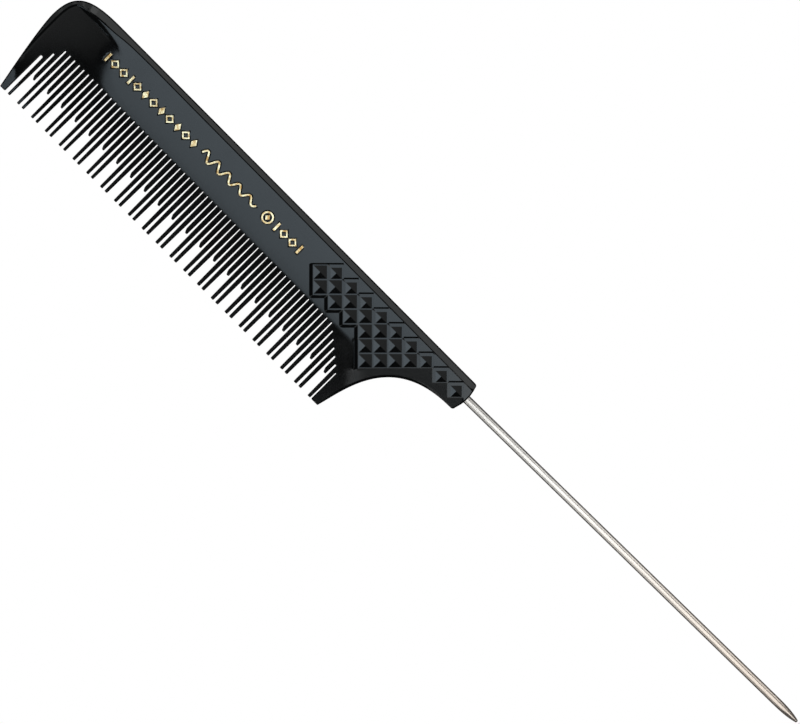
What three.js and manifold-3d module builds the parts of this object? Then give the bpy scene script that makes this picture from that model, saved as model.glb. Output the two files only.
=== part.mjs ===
// A rat tail comb for parting and teasing hair, lying flat on one face.
// A hard rubber body carries a row of sawn teeth in two lengths, a guard at each end of the row
// and a handle with pressed pyramids for grip. A steel pin tail is anchored in the handle's end,
// and gold foil marks are pressed into the upper face.
//
// Millimetres, +Z up. While the parts are made, x = 0 is the head's outermost point, y = 0 is the
// back edge with the teeth towards -Y, and z = 0 is the body's middle plane. The finished group is
// then moved so that its origin is the centre of the base of its bounding box.
import * as THREE from 'three';
import { mergeVertices } from 'three/addons/utils/BufferGeometryUtils.js';
import Module from 'manifold-3d';

// Body
const THICKNESS = 4.4;
const HALF_THICKNESS = THICKNESS / 2;
const EDGE_BEVEL_WIDTH = 1.55; // the sloping band along the back and round the head
const EDGE_BEVEL_DROP = 1.05;
const FOOT_Y = -29.2; // where both guards and the long teeth end
const HEAD_GUARD_FOOT_X = 3.2;
const HEAD_SIDE_BEND_Y = -13.3;
const HEAD_CORNER = { length: 13, height: 9, fullAlongBack: 0.7, fullAlongSide: 0.82 };
const END_GUARD_FOOT_X = 106.45;
const FINGER_REST = { endX: 128.2, upperBendX: 109.8, lowerBendX: 108.4, lowerBendY: -22.2 };
const HANDLE_LOWER_Y = -7.95;
const HANDLE_END = { x: 129.15, bulge: 0.6, upperCorner: 0.4, lowerCorner: 0.85 };
const CUT_MARGIN = 2; // how far the cutting solids reach past the body
const CUT_LENGTH = 160; // of a cut that runs right across the body

// Teeth: 22 groups of long, short, long
const TOOTH_COUNT = 66;
const TOOTH_PITCH = 1.5;
const FIRST_SLOT_X = 5.13;
const HEAD_GUARD_WALL_X = 4.74;
const END_GUARD_WALL_X = 104.36;
const ROOT_Y = -12.95;
const SHORT_TOOTH_Y = -22.85;
const SLOT_WIDTH_AT_ROOT = 0.4;
const SLOT_WIDTH_AT_FOOT = 0.86;
const TIP_CORNER = 0.2;
const SHORT_TIP_SLANT = { width: 0.42, height: 0.95 }; // on the side of each short tooth nearer the head
const HEAD_ROOT_STEP = 2.25; // each of the first slots starts this much lower than the next one
const HEAD_STEPPED_SLOTS = 2;
const END_ROOT_STEP = 1.2;
const END_STEPS_FROM = 59.6;

// Ground faces: the blade thins towards the teeth's tips, and the head towards its edge. Beside the
// grip the blade's slope ends at a steeper bank, which leaves the grip standing proud.
const BLADE_SHOULDER_Y = -12.9;
const BLADE_TIP_HALF_THICKNESS = 0.8;
const BANK = { x: 101.5, y: -12.4, angle: -Math.PI / 4, slope: 0.35 };
const HEAD_TAPER_X = 15.4;
const HEAD_EDGE_HALF_THICKNESS = 1.3;

// Pyramid grip, on both faces: rows of squares standing on their corners
const GRIP_HALF_DIAGONAL = 2.41;
const GRIP_FIRST = { x: 87.7, y: -4.8 };
const GRIP_CLIMB = 0.053; // each pyramid of a row is this much nearer the back than the one before
const GRIP_ROWS = [[0, 8], [0, 6], [0, 5], [4, 5], [4, 4]]; // first and last pyramid of each row
const GRIP_DEPTH = 0.65;
const GRIP_BORDER = 0.35;
const PYRAMID_HALF_DIAGONAL = 2.3;
const PYRAMID_HEIGHT = 0.6;
const BACK_ROW_SCALE = 0.84; // the row nearest the back is smaller, and set towards the pin
const PYRAMID_SINK = 0.05; // each pyramid's foot starts this far inside the body

// Pin tail
const PIN_RADIUS = 1.025;
const PIN_ANGLE = THREE.MathUtils.degToRad(0.88); // the pin leans a little towards the back
const PIN_EXIT = { x: 129.5, y: -3.92 };
const PIN_FREE_LENGTH = 106.1;
const PIN_HELD_LENGTH = 22;
const PIN_TAPER_LENGTH = 7.3;
const PIN_TIP_RADIUS = 0.42;
const PIN_SIDES = 32;
const ANCHOR_GROOVES = 3;
const ANCHOR_GROOVE_PITCH = 2.4;
const ANCHOR_GROOVE_WIDTH = 1.1;
const ANCHOR_GROOVE_DEPTH = 0.18;
const BORE_CLEARANCE = 0.05;

// Foil marks: each lies at the bottom of a shallow impression in the upper face
const MARK_LINE_Y = -6.95;
const BAR = { width: 0.55, height: 2.2 };
const OPEN_LOZENGE = { halfWidth: 1.2, halfHeight: 1.15, stroke: 0.45 };
const FULL_LOZENGE = { halfWidth: 0.75, halfHeight: 1.1 };
const GROUP_STARTS = { head: 15.75, handle: 70.6 };
const GROUP_PLACES = [0.3, 2.6, 5.4, 7.7]; // of a group's four marks, from the group's start
const BAND = { startX: 25.6, pitch: 2.62, count: 8 };
const WAVE = { startX: 46.7, endX: 64.2, count: 5, height: 2.4, fade: 0.4, stroke: 0.4 };
const WAVE_STEPS = 10; // along each wave
const RING = { x: 67.9, radius: 1.45, stroke: 0.38 };
const RING_CENTRE = { halfWidth: 0.6, halfHeight: 0.75 };
const FOIL_THICKNESS = 0.05;
const IMPRESSION_DEPTH = 0.15;
const IMPRESSION_CLEARANCE = 0.04;
const FOIL_GAP = 0.01; // under the foil

const wasm = await Module();
wasm.setup();

// ---------------------------------------------------------------- helpers

function solidOf(geometry) {
  const bare = geometry.clone();
  bare.deleteAttribute('normal');
  bare.deleteAttribute('uv');
  const merged = mergeVertices(bare, 1e-4);
  return new wasm.Manifold(new wasm.Mesh({
    numProp: 3,
    vertProperties: merged.attributes.position.array,
    triVerts: new Uint32Array(merged.index.array),
  }));
}

function geometryOf(solid) {
  const { vertProperties, triVerts } = solid.getMesh();
  const geometry = new THREE.BufferGeometry();
  geometry.setAttribute('position', new THREE.BufferAttribute(new Float32Array(vertProperties), 3));
  geometry.setIndex(new THREE.BufferAttribute(new Uint32Array(triVerts), 1));
  geometry.computeVertexNormals();
  return geometry;
}

function union(solids) {
  return solids.reduce((joined, solid) => joined.add(solid));
}

function follow(shape, curve, steps) {
  curve.getPoints(steps).slice(1).forEach((p) => shape.lineTo(p.x, p.y));
}

function plate(shape, lowZ, highZ) {
  const geometry = new THREE.ExtrudeGeometry(shape, {
    depth: highZ - lowZ,
    bevelEnabled: false,
    curveSegments: 12,
  });
  return geometry.translate(0, 0, lowZ);
}

// ---------------------------------------------------------------- outline of the body

// From the foot of the head's guard, up the head's side and round the corner to the back.
function traceHead(shape) {
  const { length, height, fullAlongBack, fullAlongSide } = HEAD_CORNER;
  const foot = new THREE.Vector2(HEAD_GUARD_FOOT_X, FOOT_Y);
  const sideBend = new THREE.Vector2(0, HEAD_SIDE_BEND_Y);
  const shoulder = new THREE.Vector2(0, -height);
  const sideHandle = new THREE.Vector2(0, -height * (1 - fullAlongSide));
  const backHandle = new THREE.Vector2(length * (1 - fullAlongBack), 0);
  const back = new THREE.Vector2(length, 0);
  follow(shape, new THREE.QuadraticBezierCurve(foot, sideBend, shoulder), 8);
  follow(shape, new THREE.CubicBezierCurve(shoulder, sideHandle, backHandle, back), 18);
}

// From the handle's lower edge round the hollow to the foot of the end guard.
function traceFingerRest(shape) {
  const { endX, upperBendX, lowerBendX, lowerBendY } = FINGER_REST;
  const handle = new THREE.Vector2(endX, HANDLE_LOWER_Y);
  const upperBend = new THREE.Vector2(upperBendX, HANDLE_LOWER_Y);
  const lowerBend = new THREE.Vector2(lowerBendX, lowerBendY);
  const foot = new THREE.Vector2(END_GUARD_FOOT_X, FOOT_Y);
  follow(shape, new THREE.CubicBezierCurve(handle, upperBend, lowerBend, foot), 24);
}

// From the back round the handle's gently bulging end to its lower edge.
function traceHandleEnd(shape) {
  const { x, bulge, upperCorner, lowerCorner } = HANDLE_END;
  const upper = new THREE.Vector2(x, -upperCorner);
  const middle = new THREE.Vector2(x + 2 * bulge, HANDLE_LOWER_Y / 2);
  const lower = new THREE.Vector2(x, HANDLE_LOWER_Y + lowerCorner);
  const corner = new THREE.Vector2(x, HANDLE_LOWER_Y);
  const lowerEdge = new THREE.Vector2(FINGER_REST.endX, HANDLE_LOWER_Y);
  shape.lineTo(x - upperCorner, 0);
  shape.lineTo(upper.x, upper.y);
  follow(shape, new THREE.QuadraticBezierCurve(upper, middle, lower), 8);
  follow(shape, new THREE.QuadraticBezierCurve(lower, corner, lowerEdge), 4);
}

const slotX = (i) => FIRST_SLOT_X + TOOTH_PITCH * i;

function slotHalfWidth(y) {
  const share = (ROOT_Y - y) / (ROOT_Y - FOOT_Y);
  return (SLOT_WIDTH_AT_ROOT + (SLOT_WIDTH_AT_FOOT - SLOT_WIDTH_AT_ROOT) * share) / 2;
}

function slotRootY(i) {
  const headDrop = HEAD_ROOT_STEP * Math.max(0, HEAD_STEPPED_SLOTS - i);
  const endDrop = END_ROOT_STEP * Math.max(0, i - END_STEPS_FROM);
  return ROOT_Y - headDrop - endDrop;
}

const toothTipY = (tooth) => (tooth % 3 === 1 ? SHORT_TOOTH_Y : FOOT_Y);

// Slot i's two walls at height y. The guards' walls are upright, and the teeth's are tapered.
function slotWalls(i, y) {
  const left = i === 0 ? HEAD_GUARD_WALL_X : slotX(i) - slotHalfWidth(y);
  const right = i === TOOTH_COUNT ? END_GUARD_WALL_X : slotX(i) + slotHalfWidth(y);
  return { left, right };
}

function traceSlot(shape, i) {
  const rootY = slotRootY(i);
  const { left, right } = slotWalls(i, rootY);
  shape.lineTo(right, rootY);
  const radius = (right - left) / 2;
  follow(shape, new THREE.EllipseCurve((left + right) / 2, rootY, radius, radius, 0, Math.PI), 4);
}

function traceToothTip(shape, tooth) {
  const tipY = toothTipY(tooth);
  const right = slotWalls(tooth + 1, tipY).left;
  const left = slotWalls(tooth, tipY).right;
  const corner = { width: TIP_CORNER, height: TIP_CORNER };
  const slant = tipY === SHORT_TOOTH_Y ? SHORT_TIP_SLANT : corner;
  shape.lineTo(right, tipY + TIP_CORNER);
  shape.lineTo(right - TIP_CORNER, tipY);
  shape.lineTo(left + slant.width, tipY);
  shape.lineTo(left, tipY + slant.height);
}

function combOutline() {
  const shape = new THREE.Shape();
  shape.moveTo(HEAD_GUARD_FOOT_X, FOOT_Y);
  traceHead(shape);
  traceHandleEnd(shape);
  traceFingerRest(shape);
  shape.lineTo(END_GUARD_WALL_X, FOOT_Y);
  for (let i = TOOTH_COUNT; i >= 0; i -= 1) {
    traceSlot(shape, i);
    if (i > 0) traceToothTip(shape, i - 1);
  }
  shape.lineTo(HEAD_GUARD_WALL_X, FOOT_Y);
  shape.closePath();
  return shape;
}

// The outline without teeth, running on past the handle's end and the feet so that only the back,
// the head and the finger rest get the sloping band.
function blankOutline() {
  const shape = new THREE.Shape();
  shape.moveTo(HEAD_GUARD_FOOT_X, FOOT_Y - CUT_MARGIN);
  shape.lineTo(HEAD_GUARD_FOOT_X, FOOT_Y);
  traceHead(shape);
  const beyondHandle = HANDLE_END.x + 3 * CUT_MARGIN;
  shape.lineTo(beyondHandle, 0);
  shape.lineTo(beyondHandle, HANDLE_LOWER_Y);
  shape.lineTo(FINGER_REST.endX, HANDLE_LOWER_Y);
  traceFingerRest(shape);
  shape.lineTo(END_GUARD_FOOT_X, FOOT_Y - CUT_MARGIN);
  shape.closePath();
  return shape;
}

// ---------------------------------------------------------------- cuts in the body

function bevelledBlank() {
  return solidOf(new THREE.ExtrudeGeometry(blankOutline(), {
    depth: THICKNESS - 2 * EDGE_BEVEL_DROP,
    bevelEnabled: true,
    bevelThickness: EDGE_BEVEL_DROP,
    bevelSize: EDGE_BEVEL_WIDTH,
    bevelOffset: -EDGE_BEVEL_WIDTH,
    bevelSegments: 2,
  }).translate(0, 0, EDGE_BEVEL_DROP - HALF_THICKNESS));
}

// A wedge above the upper face. Its lower side starts on the line through (x, y) and falls by
// `slope` per millimetre to the right of that line, as seen looking along `angle` from above.
function wedge(x, y, angle, slope) {
  const profile = new THREE.Shape();
  profile.moveTo(0, 0);
  profile.lineTo(CUT_LENGTH, -slope * CUT_LENGTH);
  profile.lineTo(CUT_LENGTH, CUT_MARGIN);
  profile.lineTo(0, CUT_MARGIN);
  profile.closePath();
  const geometry = new THREE.ExtrudeGeometry(profile, { depth: 2 * CUT_LENGTH, bevelEnabled: false });
  geometry.translate(0, 0, -CUT_LENGTH).rotateX(Math.PI / 2);
  geometry.rotateZ(angle - Math.PI / 2).translate(x, y, HALF_THICKNESS);
  return solidOf(geometry);
}

function onBothFaces(solid) {
  return solid.add(solid.mirror([0, 0, 1]));
}

function groundAway() {
  const bladeSlope = (HALF_THICKNESS - BLADE_TIP_HALF_THICKNESS) / (BLADE_SHOULDER_Y - FOOT_Y);
  const headSlope = (HALF_THICKNESS - HEAD_EDGE_HALF_THICKNESS) / HEAD_TAPER_X;
  const bank = wedge(BANK.x, BANK.y, BANK.angle, BANK.slope);
  const blade = wedge(0, BLADE_SHOULDER_Y, 0, bladeSlope).intersect(bank);
  const head = wedge(HEAD_TAPER_X, 0, -Math.PI / 2, headSlope);
  return onBothFaces(blade.add(head));
}

// Calls back with the centre and the row of each pyramid's cell.
function eachPyramid(callback) {
  GRIP_ROWS.forEach(([first, last], row) => {
    const rowX = GRIP_FIRST.x - (row % 2) * GRIP_HALF_DIAGONAL;
    for (let n = first; n <= last; n += 1) {
      const y = GRIP_FIRST.y - GRIP_HALF_DIAGONAL * row + GRIP_CLIMB * n;
      callback(rowX + 2 * GRIP_HALF_DIAGONAL * n, y, row);
    }
  });
}

function gripRecess() {
  const halfDiagonal = GRIP_HALF_DIAGONAL + GRIP_BORDER * Math.SQRT2;
  const height = GRIP_DEPTH + CUT_MARGIN;
  const cells = [];
  eachPyramid((x, y) => {
    const cell = new THREE.CylinderGeometry(halfDiagonal, halfDiagonal, height, 4).rotateX(Math.PI / 2);
    cells.push(solidOf(cell.translate(x, y, HALF_THICKNESS - GRIP_DEPTH + height / 2)));
  });
  return onBothFaces(union(cells));
}

function gripPyramids() {
  const floorZ = HALF_THICKNESS - GRIP_DEPTH;
  const slope = PYRAMID_HEIGHT / PYRAMID_HALF_DIAGONAL;
  const pyramids = [];
  eachPyramid((x, y, row) => {
    const halfDiagonal = PYRAMID_HALF_DIAGONAL * (row === 0 ? BACK_ROW_SCALE : 1);
    const height = halfDiagonal * slope + PYRAMID_SINK;
    const pyramid = new THREE.ConeGeometry(height / slope, height, 4).rotateX(Math.PI / 2);
    const shift = PYRAMID_HALF_DIAGONAL - halfDiagonal;
    pyramids.push(solidOf(pyramid.translate(x + shift, y, floorZ - PYRAMID_SINK + height / 2)));
  });
  return onBothFaces(union(pyramids));
}

// ---------------------------------------------------------------- pin tail

// Turns a lathe made round Y into the pin's direction, with the profile's y = 0 at the handle's end.
function alongPin(geometry) {
  return geometry.rotateZ(-Math.PI / 2 + PIN_ANGLE).translate(PIN_EXIT.x, PIN_EXIT.y, 0);
}

// The held stretch's outline, from its inner end to the handle's end, grown by `clearance`.
function heldProfile(clearance) {
  const radius = PIN_RADIUS + clearance;
  const points = [
    new THREE.Vector2(0, -PIN_HELD_LENGTH - clearance),
    new THREE.Vector2(radius, -PIN_HELD_LENGTH - clearance),
  ];
  for (let n = 0; n < ANCHOR_GROOVES; n += 1) {
    const start = -PIN_HELD_LENGTH + ANCHOR_GROOVE_PITCH * (n + 0.5);
    const end = start + ANCHOR_GROOVE_WIDTH;
    points.push(new THREE.Vector2(radius, start + clearance));
    points.push(new THREE.Vector2(radius - ANCHOR_GROOVE_DEPTH, start + ANCHOR_GROOVE_DEPTH + clearance));
    points.push(new THREE.Vector2(radius - ANCHOR_GROOVE_DEPTH, end - ANCHOR_GROOVE_DEPTH - clearance));
    points.push(new THREE.Vector2(radius, end - clearance));
  }
  return points;
}

function pinGeometry() {
  const profile = heldProfile(0);
  const taperSteps = 8;
  const tipSteps = 4;
  const tipStart = PIN_FREE_LENGTH - PIN_TIP_RADIUS;
  const taperStart = tipStart - PIN_TAPER_LENGTH;
  for (let n = 0; n <= taperSteps; n += 1) {
    const share = n / taperSteps;
    const radius = PIN_RADIUS - (PIN_RADIUS - PIN_TIP_RADIUS) * share ** 2;
    profile.push(new THREE.Vector2(radius, taperStart + PIN_TAPER_LENGTH * share));
  }
  for (let n = 1; n <= tipSteps; n += 1) {
    const angle = (Math.PI / 2) * (n / tipSteps);
    const radius = n === tipSteps ? 0 : PIN_TIP_RADIUS * Math.cos(angle);
    profile.push(new THREE.Vector2(radius, tipStart + PIN_TIP_RADIUS * Math.sin(angle)));
  }
  return alongPin(new THREE.LatheGeometry(profile, PIN_SIDES));
}

function pinBore() {
  const profile = heldProfile(BORE_CLEARANCE);
  const mouthY = 3 * CUT_MARGIN;
  profile.push(new THREE.Vector2(PIN_RADIUS + BORE_CLEARANCE, mouthY));
  profile.push(new THREE.Vector2(0, mouthY));
  return solidOf(alongPin(new THREE.LatheGeometry(profile, PIN_SIDES)));
}

// ---------------------------------------------------------------- foil marks

// Each mark is a function of its growth, so that its impression is the same shape, a little larger.

function lozengeOutline(path, x, halfWidth, halfHeight) {
  path.moveTo(x - halfWidth, MARK_LINE_Y);
  path.lineTo(x, MARK_LINE_Y - halfHeight);
  path.lineTo(x + halfWidth, MARK_LINE_Y);
  path.lineTo(x, MARK_LINE_Y + halfHeight);
  path.closePath();
  return path;
}

const fullLozenge = (x, { halfWidth, halfHeight }) => (grow) => (
  lozengeOutline(new THREE.Shape(), x, halfWidth + grow, halfHeight + grow));

const openLozenge = (x, { halfWidth, halfHeight, stroke }) => (grow) => {
  const shape = lozengeOutline(new THREE.Shape(), x, halfWidth + grow, halfHeight + grow);
  const inset = stroke + grow;
  shape.holes.push(lozengeOutline(new THREE.Path(), x, halfWidth - inset, halfHeight - inset));
  return shape;
};

const bar = (x, { width, height }) => (grow) => {
  const shape = new THREE.Shape();
  const right = x + width / 2 + grow;
  const left = x - width / 2 - grow;
  const top = MARK_LINE_Y + height / 2 + grow;
  const bottom = MARK_LINE_Y - height / 2 - grow;
  shape.moveTo(left, bottom);
  shape.lineTo(right, bottom);
  shape.lineTo(right, top);
  shape.lineTo(left, top);
  shape.closePath();
  return shape;
};

const ring = ({ x, radius, stroke }) => (grow) => {
  const shape = new THREE.Shape();
  shape.absarc(x, MARK_LINE_Y, radius + grow, 0, 2 * Math.PI);
  const hole = new THREE.Path();
  hole.absarc(x, MARK_LINE_Y, radius - stroke - grow, 0, 2 * Math.PI, true);
  shape.holes.push(hole);
  return shape;
};

// A wave whose height dies away along its length, drawn with a stroke of even width.
const wave = ({ startX, endX, count, height, fade, stroke }) => (grow) => {
  const steps = count * WAVE_STEPS;
  const point = (n) => {
    const share = n / steps;
    const swing = (height / 2) * (1 - fade * share) * Math.sin(2 * Math.PI * count * share);
    return new THREE.Vector2(startX + (endX - startX) * share, MARK_LINE_Y + swing);
  };
  const upper = [];
  const lower = [];
  for (let n = 0; n <= steps; n += 1) {
    const along = point(Math.min(n + 1, steps)).sub(point(Math.max(n - 1, 0))).normalize();
    const centre = point(n);
    if (n === 0) centre.addScaledVector(along, -grow);
    if (n === steps) centre.addScaledVector(along, grow);
    const across = new THREE.Vector2(-along.y, along.x).multiplyScalar(stroke / 2 + grow);
    upper.push(centre.clone().add(across));
    lower.push(centre.clone().sub(across));
  }
  return new THREE.Shape([...lower, ...upper.reverse()]);
};

// A small group of four marks: two open lozenges between two bars.
function smallGroup(name) {
  return GROUP_PLACES.map((place, n) => {
    const x = GROUP_STARTS[name] + place;
    const isOuter = n === 0 || n === GROUP_PLACES.length - 1;
    return [`foil_${name}_${n + 1}`, isOuter ? bar(x, BAR) : openLozenge(x, OPEN_LOZENGE)];
  });
}

function lozengeBand() {
  return Array.from({ length: BAND.count }, (_, n) => {
    const x = BAND.startX + BAND.pitch * n;
    return [`foil_band_${n + 1}`, n % 2 === 0 ? openLozenge(x, OPEN_LOZENGE) : fullLozenge(x, FULL_LOZENGE)];
  });
}

const marks = [
  ...smallGroup('head'),
  ...lozengeBand(),
  ['foil_wave', wave(WAVE)],
  ['foil_ring', ring(RING)],
  ['foil_ring_centre', fullLozenge(RING.x, RING_CENTRE)],
  ...smallGroup('handle'),
];

// ---------------------------------------------------------------- assembly

const hardRubber = new THREE.MeshStandardMaterial({ color: 0x17181a, roughness: 0.18, metalness: 0 });
const steel = new THREE.MeshStandardMaterial({ color: 0xc9c4be, roughness: 0.32, metalness: 1 });
const goldFoil = new THREE.MeshStandardMaterial({ color: 0xd9b25f, roughness: 0.35, metalness: 1 });

function namedMesh(name, geometry, material) {
  const mesh = new THREE.Mesh(geometry, material);
  mesh.name = name;
  return mesh;
}

const impressionFloorZ = HALF_THICKNESS - IMPRESSION_DEPTH;

function combBody() {
  const profile = solidOf(plate(combOutline(), -HALF_THICKNESS, HALF_THICKNESS));
  const impressions = union(marks.map(([, mark]) => (
    solidOf(plate(mark(IMPRESSION_CLEARANCE), impressionFloorZ, HALF_THICKNESS + CUT_MARGIN)))));
  const body = profile
    .intersect(bevelledBlank())
    .subtract(groundAway())
    .subtract(gripRecess())
    .add(gripPyramids())
    .subtract(pinBore())
    .subtract(impressions);
  return namedMesh('comb_body', geometryOf(body), hardRubber);
}

function foilMesh([name, mark]) {
  const lowZ = impressionFloorZ + FOIL_GAP;
  return namedMesh(name, plate(mark(0), lowZ, lowZ + FOIL_THICKNESS), goldFoil);
}

const comb = new THREE.Group();
comb.add(combBody());
comb.add(namedMesh('tail_pin', pinGeometry(), steel));
marks.forEach((entry) => comb.add(foilMesh(entry)));

const box = new THREE.Box3().setFromObject(comb);
const centre = box.getCenter(new THREE.Vector3());
comb.position.set(-centre.x, -centre.y, -box.min.z);

export default comb;
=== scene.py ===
import math

import bpy
import numpy as np
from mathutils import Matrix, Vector
from mathutils.geometry import delaunay_2d_cdt
from mathutils.kdtree import KDTree


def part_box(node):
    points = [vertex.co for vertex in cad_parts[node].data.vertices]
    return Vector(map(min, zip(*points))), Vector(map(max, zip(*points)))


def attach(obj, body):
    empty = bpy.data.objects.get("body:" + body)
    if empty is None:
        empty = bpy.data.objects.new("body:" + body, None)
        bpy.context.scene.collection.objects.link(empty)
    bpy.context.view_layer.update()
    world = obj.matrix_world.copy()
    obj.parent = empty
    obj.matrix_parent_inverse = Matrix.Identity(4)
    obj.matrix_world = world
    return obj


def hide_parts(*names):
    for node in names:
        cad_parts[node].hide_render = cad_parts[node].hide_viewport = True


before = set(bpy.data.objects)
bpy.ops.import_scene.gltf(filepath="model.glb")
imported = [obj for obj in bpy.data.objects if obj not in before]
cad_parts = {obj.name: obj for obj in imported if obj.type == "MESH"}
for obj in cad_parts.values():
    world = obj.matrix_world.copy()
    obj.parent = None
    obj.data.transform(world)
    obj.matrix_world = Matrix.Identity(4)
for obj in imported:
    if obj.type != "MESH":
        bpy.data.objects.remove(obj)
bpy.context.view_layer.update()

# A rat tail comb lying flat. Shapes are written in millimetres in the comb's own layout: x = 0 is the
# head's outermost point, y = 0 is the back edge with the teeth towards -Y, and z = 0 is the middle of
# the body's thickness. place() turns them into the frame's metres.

MM = 0.001
body_low, body_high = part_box("comb_body")
HEAD_X = body_low.x
BACK_Y = body_high.y
MIDDLE_Z = (body_low.z + body_high.z) / 2
HALF_THICKNESS = (body_high.z - body_low.z) / 2 / MM

# Body outline
FOOT_Y = -29.2
HEAD_GUARD_FOOT_X = 3.2
END_GUARD_FOOT_X = 106.45
HANDLE_END_X = 129.15
HANDLE_LOWER_Y = -7.95
GUARD_ROUNDING = 0.35
EDGE_WIDTH = 0.25
BACK_EDGE_WIDTH = 0.32
REST_EDGE_WIDTH = 0.6
REST_EDGE_GROWS_OVER = 6  # points of the outline, from the handle's end
REST_EDGE_SHRINKS_OVER = 14  # points of the outline, towards the end guard
EDGE_START = math.radians(14)  # the rounded edge meets the face at this angle
EDGE_STEPS = 5
FAR_GAP = 2.0

# Teeth
TOOTH_COUNT = 66
TOOTH_PITCH = 1.5025
FIRST_SLOT_X = 5.2
HEAD_GUARD_WALL_X = 4.74
END_GUARD_WALL_X = 104.36
ROOT_Y = -13.05
ROOT_SLANT = 0.006
SHORT_TOOTH_Y = -22.85
SLOT_WIDTH_AT_ROOT = 0.4
SLOT_WIDTH_AT_FOOT = 0.86
SLOT_NARROWING = (0.02, 0.18)  # at the head, and what the next slots add
SLOTS_TO_FULL_NARROWING = 40
TIP_ROUNDING = 0.24
SHORT_TIP_SLANT = (0.42, 0.95)
HEAD_ROOT_STEP = 2.4
HEAD_STEPPED_SLOTS = 2
END_ROOT_STEP = 1.25
END_STEPS_FROM = 60.0

# The sloping band along the back and round the head
RIM_SLOPE = 0.5
RIM_EDGE = [  # distance along the edge from the head guard's foot, and half thickness there
    (0, 0.90), (13, 0.80), (20, 0.62), (25, 0.76), (29, 1.02), (32, 1.20), (36, 1.19), (39, 1.21),
    (41.5, 1.38), (44, 1.48), (50, 1.53), (64, 1.49), (90, 1.46), (125, 1.40), (155, 1.38),
]
RIM_EDGE_SMOOTHING = 1.6
CREASE_ROUNDING_AT_BACK = 0.08
CREASE_ROUNDING_AT_HEAD = 0.2
CREASE_HEAD_ENDS_X = 14.0
CREASE_HEAD_FADE = 10.0

# Ground faces
GROUND_CORNER = (24.8, -5.55)
GROUND_RADIUS = 6.1
HEAD_SLOPE = 0.06
HEAD_EASE = 5.5
BLADE_SLOPE = 0.0875
BLADE_EASE = 2.8
THINNEST_HALF = 0.75
STRIP_LINE = [  # the lower edge of the flat strip beside the head's rim
    (0.0, -2.6), (3.5, -2.5), (7.8, -2.38), (10.7, -2.62), (13.6, -2.95), (15.7, -3.15), (17.5, -3.9),
]
STRIP_BANK_WIDTH = 1.1
BANK_ALONG = 63.0  # the bank's top and its ends, in the grip's turned coordinates
BANK_STARTS_ACROSS = 79.0
BANK_ENDS_ACROSS = 88.2
BANK_FADE = 0.8
BANK_SLOPE = 0.75

# Grip
GRIP_HALF_DIAGONAL = 2.41
GRIP_FIRST = (87.7, -4.8)
GRIP_CLIMB = 0.053
GRIP_ROWS = [(0, 8), (0, 6), (0, 5), (4, 5), (4, 4)]
GRIP_DEPTH = 0.6
GRIP_WALLS = {  # how far the recess reaches past a cell's side, and how much of that is its wall
    "right": (0.30, 0.02),
    "top": (0.42, 0.38),
    "left": (0.84, 0.84),
    "bottom": (0.88, 0.74),
}
WALL_LEVELS = (0.001, 0.25, 0.5, 0.75, 1.0)
PYRAMID_HALF_SIDE = 1.54
PYRAMID_HEIGHT = 0.58
BACK_PYRAMID_HALF_SIDE = 1.29
BACK_PYRAMID_SHIFT = 0.37

# The satin step between the grip and the finger rest, at the depth of the grip's floor. It follows
# the cells' lower sides. Its start is in the grip's turned coordinates.
STEP_START = 60.0
STEP_FADE = 6.5
STEP_EASE = 0.5

# Pin
PIN_RADIUS = 1.025
PIN_ANGLE = math.radians(0.88)
PIN_EXIT = (129.5, -3.97)
PIN_FREE_LENGTH = 106.1
PIN_HIDDEN_LENGTH = 4.0
PIN_TAPER_LENGTH = 7.3
PIN_TIP_RADIUS = 0.42
PIN_UNEVENNESS = 0.004
PIN_SIDES = 96

# Foil impressions
FOIL_NODES = sorted(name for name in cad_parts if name.startswith("foil_"))
IMPRESSION_DEPTH = 0.15
IMPRESSION_TOP_GROWTH = 0.30
IMPRESSION_FLOOR_GROWTH = 0.04


def place(x, y, z):
    return Vector((HEAD_X + x * MM, BACK_Y + y * MM, MIDDLE_Z + z * MM))


# ---------------------------------------------------------------- plane curves

def ease(t):
    t = np.clip(t, 0, 1)
    return t * t * (3 - 2 * t)


def bezier(controls, steps):
    """Points along a Bezier curve, without its first one."""
    shares = np.linspace(0, 1, steps + 1)[1:, None]
    levels = [np.repeat([control], steps, axis=0).astype(float) for control in controls]
    while len(levels) > 1:
        levels = [a + (b - a) * shares for a, b in zip(levels, levels[1:])]
    return [tuple(point) for point in levels[0]]


def straight(start, end, spacing=1.1):
    """Evenly spaced points from start to end, without the first one."""
    length = math.dist(start, end)
    return bezier([start, end], max(1, round(length / spacing)))


def slot_x(i):
    return FIRST_SLOT_X + TOOTH_PITCH * i


def slot_half_width(i, y):
    share = (ROOT_Y - y) / (ROOT_Y - FOOT_Y)
    width = SLOT_WIDTH_AT_ROOT + (SLOT_WIDTH_AT_FOOT - SLOT_WIDTH_AT_ROOT) * share
    narrowing = SLOT_NARROWING[0] + SLOT_NARROWING[1] * min(1, i / SLOTS_TO_FULL_NARROWING)
    return (width - narrowing) / 2


def slot_root_y(i):
    head_drop = HEAD_ROOT_STEP * max(0, HEAD_STEPPED_SLOTS - i)
    end_drop = END_ROOT_STEP * max(0, i - END_STEPS_FROM)
    return ROOT_Y - ROOT_SLANT * (slot_x(i) - FIRST_SLOT_X) - head_drop - end_drop


def slot_walls(i, y):
    left = HEAD_GUARD_WALL_X if i == 0 else slot_x(i) - slot_half_width(i, y)
    right = END_GUARD_WALL_X if i == TOOTH_COUNT else slot_x(i) + slot_half_width(i, y)
    return left, right


def head_edge():
    foot = (HEAD_GUARD_FOOT_X, FOOT_Y)
    path = bezier([foot, (0, -13.3), (0, -9)], 26)
    path += bezier([(0, -9), (0, -1.62), (3.9, 0), (13, 0)], 30)
    return path


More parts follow.
